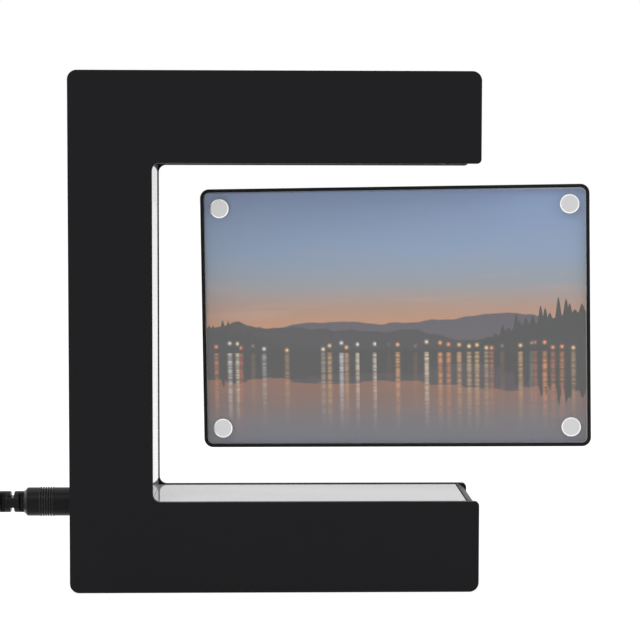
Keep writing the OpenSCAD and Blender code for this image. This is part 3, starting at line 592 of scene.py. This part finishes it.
# ---- Floating panel: tray, back plate and magnets ----
# A shallow black tray with a thin rim, closed behind by a plate; the lift magnet stands in its
# top edge and four small magnets sit in its corners behind the print.
PANEL_AXIS_X, PANEL_MIDDLE_Z = 48.5 * MM, 107.012 * MM
PANEL_TURN, PANEL_TILT = math.radians(-7.0), math.radians(-0.95)
PANEL_FRONT, PANEL_BACK = -6.4 * MM, 3.6 * MM
RIM_OUT, RIM_IN = 0.35 * MM, 0.15 * MM
PANEL_HALF = Vector((77.5, 0.0, 52.0)) * MM
RIM, RIM_CORNER, CORNER_NEAR = 1.0 * MM, 3.6 * MM, 0.3 * MM
on_panel = (
    Matrix.Translation((PANEL_AXIS_X, 0.0, PANEL_MIDDLE_Z))
    @ Matrix.Rotation(PANEL_TURN, 4, "Z") @ Matrix.Rotation(PANEL_TILT, 4, "Y"))
off_panel = on_panel.inverted()


def on_level(level, wanted=lambda at: True):
    """A test for points at one depth of the panel, in the panel's own frame."""
    def test(point):
        at = off_panel @ point
        return abs(at.y - level) < TOUCH and wanted(at)
    return test


def outermost(at):
    """True on the tray's outer outline, false on the inside of its rim."""
    past_x, past_z = abs(at.x) - PANEL_HALF.x, abs(at.z) - PANEL_HALF.z
    in_corner = min(past_x, past_z) > -RIM_CORNER
    from_middle = math.hypot(past_x + RIM_CORNER, past_z + RIM_CORNER)
    return max(past_x, past_z) > -0.2 * RIM or (
        in_corner and from_middle > RIM_CORNER - CORNER_NEAR)


panel_black = moulded(
    "panel_satin_black", grey(0.004), grey(0.006), rough=0.38, grain=3000.0, gloss=0.15, bump=0.4)
tray = merged("panel_tray")
soften(tray, corners(tray, on_level(PANEL_FRONT, outermost)), RIM_OUT)
soften(tray, corners(tray, on_level(PANEL_BACK, outermost)), RIM_OUT)
settled(tray, "panel_tray_black", "panel_tray", panel_black)
back = merged("panel_back")
soften(back, corners(back, on_level(PANEL_BACK)), RIM_IN, 2)
settled(back, "panel_back_plate", "panel_back", panel_black)
magnet_nickel = brushed(
    "magnet_nickel", grey(0.5), grey(0.62), rough=0.2, stretch=(200.0, 200.0, 200.0))
dressed(magnet_nickel, "lift_magnet", "tray_magnets")


# ---- Photo print ----
# A semi-gloss paper print behind the cover: a lake at dusk, with hills, lights on the far shore
# and their streaks in the water, drawn on the print's own flat coordinates. Its back is plain.
PRINT_W, PRINT_H = 152.4 * MM, 101.4 * MM
SHORE = 0.36
TREE_COUNT, LAMP_COUNT = 62.0, 44.0
LONG_BY_HIGH = 1.5
FRONTWARD = -0.5
print_mesh = merged("photo_print")
flat = print_mesh.loops.layers.uv.new("picture")
for face in print_mesh.faces:
    face.material_index = 0 if (off_panel.to_3x3() @ face.normal).y < FRONTWARD else 1
    for loop in face.loops:
        spot = off_panel @ loop.vert.co
        loop[flat].uv = (spot.x / PRINT_W + 0.5, spot.z / PRINT_H + 0.5)

print_paper, at = blank("print_paper")
picture = at.node("ShaderNodeUVMap", {"uv_map": "picture"})
parts = picture.node("ShaderNodeSeparateXYZ", inputs={"Vector": picture}, out="X")
across, up = parts, parts.other("Y")


def strip(value, scale, detail, row):
    """Noise along one line: a value, how fine, and which of its many rows."""
    line = value.node("ShaderNodeCombineXYZ", inputs={"X": value, "Y": row})
    return value.node(
        "ShaderNodeTexNoise", {"noise_dimensions": "2D"},
        {"Vector": line, "Scale": scale, "Detail": detail}, out="Fac")


def cells(value, count):
    """Cuts a line into uneven cells: the distance from each one's middle, and its random colour."""
    near = value.node(
        "ShaderNodeTexVoronoi", {"voronoi_dimensions": "1D"},
        {"W": value, "Scale": count, "Randomness": 0.8}, out="Distance")
    draw = near.node("ShaderNodeSeparateColor", inputs={"Color": near.other("Color")}, out="Red")
    return near, draw, draw.other("Green"), draw.other("Blue")


def evening(across, up):
    """The sky, the far hills and the wooded near shore, at a place of the picture."""
    sky = up.node("ShaderNodeValToRGB", {"stops": [
        (0.0, (0.62, 0.26, 0.11, 1)), (0.14, (0.6, 0.27, 0.13, 1)), (0.27, (0.46, 0.27, 0.19, 1)),
        (0.42, (0.31, 0.33, 0.37, 1)), (0.62, (0.24, 0.34, 0.51, 1)),
        (1.0, (0.19, 0.29, 0.53, 1))]}, {"Fac": (up - SHORE) / (1.0 - SHORE)})
    drawn = up.node("ShaderNodeCombineXYZ", inputs={"X": across * 1.6, "Y": up * 8.0})
    streaks = spread(noise(drawn, 1.9, 6.0), 0.5, 0.72) * spread(up, SHORE, 0.95, 1.0, 0.0)
    sky = blended(0.5 * streaks, sky, (0.58, 0.36, 0.3, 1))
    far = SHORE + 0.04 + 0.2 * strip(across, 2.6, 5.0, 3.0) * spread(across, 0.0, 0.9, 0.55, 1.0)
    sky = blended(spread(far - up, 0.0, 0.005), sky, (0.08, 0.065, 0.09, 1))
    mid = SHORE + 0.02 + 0.17 * strip(across, 5.0, 6.0, 11.0) * spread(across, 1.0, 0.1, 0.35, 1.0)
    sky = blended(spread(mid - up, 0.0, 0.005), sky, (0.022, 0.019, 0.026, 1))
    near, tall, wide, _ = cells(across, TREE_COUNT)
    trees = (0.022 + 0.045 * tall) * spread(near, 0.0, 0.62, 1.0, 0.0) * (0.5 + wide)
    wood = spread(across, 0.62, 0.98) + 0.55 * spread(across, 0.26, 0.02)
    edge = SHORE + 0.008 + wood * (0.07 + 0.16 * strip(across, 4.0, 3.0, 8.0))
    edge = edge + trees * (0.2 + wood)
    return blended(spread(edge - up, 0.0, 0.004), sky, (0.008, 0.008, 0.011, 1))


ripple = at.node("ShaderNodeCombineXYZ", inputs={"X": across * 6.0, "Y": up * 85.0})
waves = noise(ripple, 1.0, 3.0) - 0.5
below = 2.0 * SHORE - up + 0.035 * waves
mirrored = evening(across + 0.012 * waves, below)
water = at.node("ShaderNodeMix", {"data_type": "RGBA", "blend_type": "MULTIPLY"},
                {0: 1.0, 6: mirrored, 7: (0.45, 0.36, 0.36, 1)}, out=2)
view = blended(up > SHORE, water, evening(across, up))
beside, tint, lamp_on, height = cells(across, LAMP_COUNT)
burning = spread(lamp_on, 0.3, 0.4)
lamp_colour = tint.node("ShaderNodeValToRGB", {"stops": [
    (0.0, (0.9, 0.2, 0.1, 1)), (0.25, (1.0, 0.4, 0.12, 1)), (0.7, (1.0, 0.72, 0.36, 1)),
    (1.0, (0.75, 0.78, 0.9, 1))]}, {"Fac": tint})
sideways = beside * (LONG_BY_HIGH / LAMP_COUNT)
upright = up - (SHORE + 0.01 + 0.03 * height)
apart = sideways * sideways + upright * upright
reach = apart.maths("SQRT", apart)
view = blended(burning * 0.5 * spread(reach, 0.002, 0.014, 1.0, 0.0), view, lamp_colour)
view = blended(burning * spread(reach, 0.0025, 0.006, 1.0, 0.0), view, lamp_colour)
sway = beside + 0.16 * waves
broken = spread(noise(ripple, 1.4, 2.0), 0.4, 0.58)
streak = burning * spread(sway, 0.02, 0.42, 1.0, 0.0) * (0.4 + 0.6 * broken)
streak = streak * spread(up, SHORE - 0.34, SHORE - 0.02) * (0.3 + 0.45 * height) * (up < SHORE)
view = blended(streak, view, lamp_colour)
tooth = noise(at, 900.0)
shown(at.node("ShaderNodeBsdfPrincipled", inputs={
    "Base Color": view,
    "Roughness": 0.3 + 0.04 * tooth,
    "Normal": bumped(tooth, 0.01, 0.01 * MM),
}))
paper_white = moulded(
    "paper_back_white", grey(0.7), grey(0.76), rough=0.5, grain=900.0, gloss=0.4, bump=0.05)
settled(print_mesh, "print_sheet", "photo_print", print_paper, paper_white)


# ---- Clear cover and its discs ----
# A clear acrylic sheet over the print; the ground chamfer round its front is half frosted.
# Four satin silver magnet discs with a polished cut bevel stand in its corners and hold it; the
# bevel's lighter colour is partly a painted highlight.
COVER_BACK = -3.9 * MM
CHAMFER = 0.55 * MM
AIR_GAP = 0.05 * MM
DISC_X, DISC_Z = 69.7 * MM, 44.2 * MM
DISC_REACH = 4.4 * MM
BEVEL_SHARP = math.radians(8)
SLOPE_LOW, SLOPE_HIGH = 0.2, 0.99


def off_discs(at):
    return math.hypot(abs(at.x) - DISC_X, abs(at.z) - DISC_Z) > DISC_REACH


clear, at = blank("clear_acrylic")
wiped = spread(noise(at, 30.0, 4.0), 0.45, 0.75)
inside = at.node("ShaderNodeNewGeometry", out="Backfacing")
one_face = at.node("ShaderNodeFresnel", inputs={"IOR": ACRYLIC_IOR})
# The sheet's front and back both mirror; what the two send back together is counted at its front.
mirror = 2.0 * one_face / (1.0 + one_face) * (1.0 - inside)
through = at.node("ShaderNodeBsdfTransparent", inputs={"Color": (0.985, 0.99, 0.988, 1)})
gleam = at.node(
    "ShaderNodeBsdfGlossy", inputs={"Color": grey(1.0), "Roughness": 0.02 + 0.02 * wiped})
shown(at.node("ShaderNodeMixShader", inputs={0: mirror, 1: through, 2: gleam}))

frosted, at = blank("ground_acrylic")
cut_lines = noise(at, 1400.0, 3.0)
shown(at.node("ShaderNodeBsdfPrincipled", inputs={
    "Base Color": blended(cut_lines, grey(0.6), grey(0.7)),
    "Roughness": 0.3 + 0.1 * cut_lines,
    "IOR": ACRYLIC_IOR,
    "Specular IOR Level": 0.2,
    "Alpha": 0.4,
    "Normal": bumped(cut_lines, 0.1, 0.02 * MM),
}))

pane = merged("clear_cover")
for face in soften(pane, corners(pane, on_level(PANEL_FRONT, off_discs)), CHAMFER, 1):
    face.material_index = 1
for vert in pane.verts:
    spot = off_panel @ vert.co
    if abs(spot.y - COVER_BACK) < TOUCH:
        spot.y -= AIR_GAP
        vert.co = on_panel @ spot
settled(pane, "cover_sheet", "clear_cover", clear, frosted)

disc_satin = brushed(
    "disc_satin_silver", grey(0.54), grey(0.63), rough=0.3, stretch=(500.0, 500.0, 500.0))
# The polished bevel is lighter than the disc face: real polish, and partly a painted highlight
# round each rim.
disc_polish_and_highlight = brushed(
    "disc_cut_bevel_and_highlight", grey(0.84), grey(0.92), rough=0.14, stretch=(500.0, 500.0, 500.0))
sizes = {"Diameter": 7.6 * MM, "Depth": 2.5 * MM, "Proud": 0.4 * MM, "Bevel": 0.45 * MM}
start, keys = tree_of("cover_disc", sizes)
wide, deep, proud, cut = (start.other(label) for label in sizes)
wide = wide / 2.0
body = turned(
    start, [(wide, 0.0), (wide, deep + proud * 0.75), (wide - cut, deep + proud)], sides=72)
still = start.node("ShaderNodeCombineXYZ")
discs = repeated(
    start, keys, sizes, body, still, disc_satin,
    [(x * DISC_X, z * DISC_Z, 0.0) for x in (-1, 1) for z in (-1, 1)], "cover_discs")
facing = Matrix(((1, 0, 0, 0), (0, 0, -1, COVER_BACK), (0, 1, 0, 0), (0, 0, 0, 1)))
discs.data.transform(on_panel @ facing)
discs.data.set_sharp_from_angle(angle=BEVEL_SHARP)
discs.data.materials.append(disc_polish_and_highlight)
for face in discs.data.polygons:
    if SLOPE_LOW < abs((off_panel.to_3x3() @ face.normal).y) < SLOPE_HIGH:
        face.material_index = 1
placed(discs, "cover_magnets")


# ---- Power lead ----
# A moulded round plug with grip rings and a slotted bend relief, on a thin PVC cord that is
# wound up and tied beside the stand. It ends in a small plug-top adaptor with two pins.
CORD_D = 3.6 * MM
RELIEF_R, RELIEF_EDGE = 4.25 * MM, 0.45 * MM
PLUG_EDGE, TIE_ROUND = 0.14 * MM, 2.4 * MM
HIGHLIGHT_SLOPE_LOW, HIGHLIGHT_SLOPE_HIGH = 0.3, 0.95
LENGTHWISE = 0.9
RUN = [
    (-116.5, 0.0, 32.3), (-120.088, 0.0, 32.3), (-126.705, -1.207, 31.3253),
    (-133.695, -4.369, 28.367), (-140.685, -8.738, 23.8526), (-147.722, -12.869, 19.5263),
    (-153.687, -16.031, 16.1747), (-159.512, -17.0, 15.2), (-163.1, -17.0, 15.2)]
TAIL = [
    (-170.3, -17.0, 2.6), (-173.912, -17.0, 2.6), (-179.691, -16.05, 3.2984),
    (-185.711, -13.675, 5.1992), (-191.697, -10.5875, 7.5968), (-197.717, -8.2125, 9.3032),
    (-201.088, -7.5, 9.8), (-204.7, -7.5, 9.8)]
COIL_X, COIL_Y, COIL_R, COIL_TOP = -166.7, 9.0, 26.0, 15.2
COIL_STEP, COIL_LOOPS, COIL_LAYERS, TURN_POINTS = 4.2, 2, 4, 24
ADAPTOR_TOP, ADAPTOR_SEAM, ADAPTOR_EDGE = 26.0 * MM, 52.0 / 3.0 * MM, 1.4 * MM
PIN_X, PINS_Y, PIN_OFF, PIN_CLEAR = -241.7 * MM, -7.5 * MM, 9.3 * MM, 4.0 * MM


def coil_point(turns):
    """A point of the coil: in and out again by two loops, and a layer down after each two."""
    back = turns % (2 * COIL_LOOPS)
    radius = COIL_R - COIL_STEP * min(back, 2 * COIL_LOOPS - back)
    layer = round(turns / COIL_LOOPS)
    past = turns - COIL_LOOPS * layer
    down = layer - 1 + min(max(0.5 + 2.0 * past, 0.0), 1.0)
    down = 0.0 if layer < 1 else COIL_LAYERS - 1.0 if layer > COIL_LAYERS - 1 else down
    angle = 2.0 * math.pi * turns
    x, y = COIL_X - radius * math.sin(angle), COIL_Y - radius * math.cos(angle)
    return (x, y, COIL_TOP - COIL_STEP * down)


coil_turns = COIL_LOOPS * COIL_LAYERS
coil = [coil_point(i / TURN_POINTS) for i in range(coil_turns * TURN_POINTS + 1)]
route = [Vector(p) * MM for p in RUN + coil + TAIL]
cord_data = bpy.data.curves.new("power_cord", "CURVE")
cord_data.dimensions = "3D"
cord_data.bevel_depth = CORD_D / 2
cord_data.bevel_resolution = 5
cord_data.resolution_u = 5
cord_data.use_fill_caps = True
line = cord_data.splines.new("BEZIER")
line.bezier_points.add(len(route) - 1)
for knot, point in zip(line.bezier_points, route):
    knot.co = point
    knot.handle_left_type = knot.handle_right_type = "AUTO"
cord_black = moulded(
    "cord_pvc", grey(0.009), grey(0.013), rough=0.38, grain=2400.0, gloss=0.4, bump=0.15)
cord_data.materials.append(cord_black)
cord = bpy.data.objects.new("power_cord", cord_data)
scene.collection.objects.link(cord)
placed(cord, "cord_run", "cord_coil", "cord_tail")

plug_black = moulded(
    "plug_pvc", grey(0.0025), grey(0.0035), rough=0.32, grain=3200.0, gloss=0.14, bump=0.35)
# The sloped bevels of the grip rings and the rear chamfer get a lighter, glossier grey: a painted
# highlight.
painted_edge_highlight = moulded(
    "plug_painted_edge_highlight", grey(0.022), grey(0.032), rough=0.3, grain=3200.0, gloss=0.45, bump=0.2)
nickel = brushed("plug_nickel", grey(0.55), grey(0.68), rough=0.16, stretch=(900.0, 40.0, 40.0))
plug = merged("plug_body")
soften(plug, [e for e in corners(plug) if e.is_convex], PLUG_EDGE, 2)
plug.normal_update()
# Faces sloped along the plug take the painted highlight; the rest keep the plain black.
for face in plug.faces:
    face.material_index = 1 if HIGHLIGHT_SLOPE_LOW < abs(face.normal.x) < HIGHLIGHT_SLOPE_HIGH else 0
plug = settled(plug, "plug_grip", "plug_body", plug_black, painted_edge_highlight)
relief = merged("strain_relief")


def ring_edges(at_x=None):
    """The relief's convex edges that run round it, all of them or those at one place along it."""
    return [
        e for e in corners(relief)
        if e.is_convex and abs(e.verts[0].co.x - e.verts[1].co.x) < TOUCH
        and all(math.hypot(v.co.y, v.co.z - route[0].z) > RELIEF_R - TOUCH for v in e.verts)
        and (at_x is None or abs(e.verts[0].co.x - at_x) < TOUCH)]


for ring_x in sorted({round(e.verts[0].co.x, 5) for e in ring_edges()}):
    soften(relief, ring_edges(ring_x), RELIEF_EDGE, 3)
bmesh.ops.remove_doubles(relief, verts=relief.verts, dist=TOUCH)
bmesh.ops.dissolve_degenerate(relief, dist=TOUCH, edges=relief.edges)
relief = settled(relief, "bend_relief", "strain_relief", plug_black)
barrel = settled(merged("plug_barrel"), "plug_contact", "plug_barrel", nickel)

tie_black = moulded(
    "tie_woven_nylon", grey(0.012), grey(0.028), rough=0.7, grain=1800.0, gloss=0.3, bump=0.6)
tie = merged("cord_tie")
along = [
    e for e in corners(tie)
    if e.is_convex and abs((e.verts[0].co - e.verts[1].co).normalized().x) > LENGTHWISE]
soften(tie, along, TIE_ROUND, 5)
tie = settled(tie, "cord_tie_band", "cord_tie", tie_black)

adaptor_black = moulded(
    "adaptor_plastic", grey(0.009), grey(0.013), rough=0.45, grain=3600.0, gloss=0.4, bump=0.2)
bush = settled(merged("adaptor_bush"), "cord_bush", "adaptor_bush", plug_black)


def by_pins(at):
    """True round the two holes that the pins come through."""
    return abs(at.x - PIN_X) < PIN_CLEAR and abs(abs(at.y - PINS_Y) - PIN_OFF) < PIN_CLEAR


for node, outer_z, name in (
    ("adaptor_back", 0.0, "adaptor_shell"),
    ("adaptor_face", ADAPTOR_TOP, "adaptor_lid"),
):
    half = merged(node)
    rim = corners(half, lambda at: abs(at.z - outer_z) < TOUCH and not by_pins(at))
    soften(half, rim, ADAPTOR_EDGE)
    seam = corners(half, lambda at: abs(at.z - ADAPTOR_SEAM) < TOUCH)
    soften(half, [e for e in seam if e.is_convex], SEAM_EDGE, 2)
    settled(half, name, node, adaptor_black)
pins = settled(merged("adaptor_pins"), "adaptor_contacts", "adaptor_pins", nickel)
